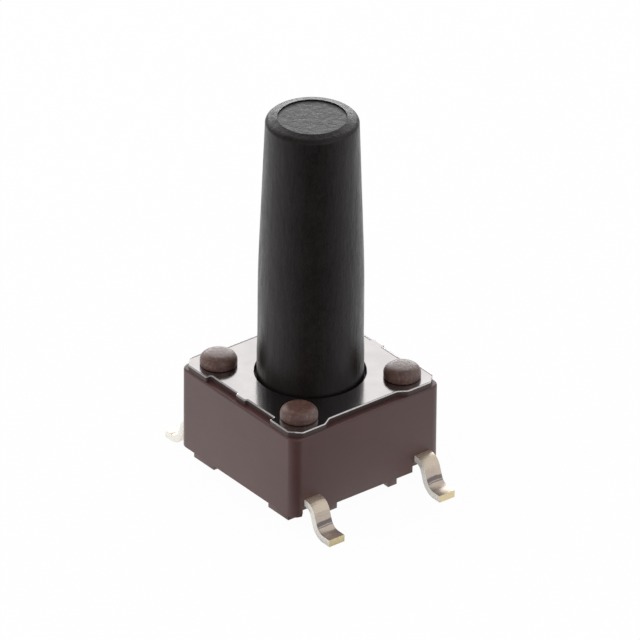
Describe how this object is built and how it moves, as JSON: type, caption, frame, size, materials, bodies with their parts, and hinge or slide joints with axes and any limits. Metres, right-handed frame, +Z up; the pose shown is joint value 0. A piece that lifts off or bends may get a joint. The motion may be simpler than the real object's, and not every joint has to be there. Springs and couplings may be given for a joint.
{
  "type": "tactile push button switch",
  "caption": "Surface-mount tactile push switch with a square moulded body, steel cover plate, gull-wing leads and a tall tapered stem that clicks down a quarter of a millimetre.",
  "frame": {"origin": "centre of the body on the board's surface, level with the undersides of the lead feet", "axes": "+Z up along the stem, leads leave towards +X and -X, the plain sides face +Y and -Y"},
  "size_m": [0.0086, 0.006, 0.013],
  "materials": {
    "brown_moulding": "satin moulded, heat-resistant brown plastic",
    "black_moulding": "fine matt moulded black plastic with faint mottling",
    "bright_steel": "bright rolled stainless sheet, stamped edges",
    "tinned_brass": "satin tin plating over brass, bare brass at the cut ends",
    "spring_steel": "thin sprung stainless disc"
  },
  "bodies": {
    "housing": {"base": "brown_moulding", "centre_terminal": "tinned_brass", "outer_terminal": "tinned_brass", "contact_dome": "spring_steel", "cover_plate": "bright_steel"},
    "plunger": {"stem": "black_moulding"}
  },
  "joints": [
    {"name": "stem_press", "type": "slide", "parent": "housing", "child": "plunger", "axis": [0, 0, -1], "range_m": [0, 0.00025], "stiffness_N_per_m": 6400, "deforming": ["contact_dome"]}
  ]
}
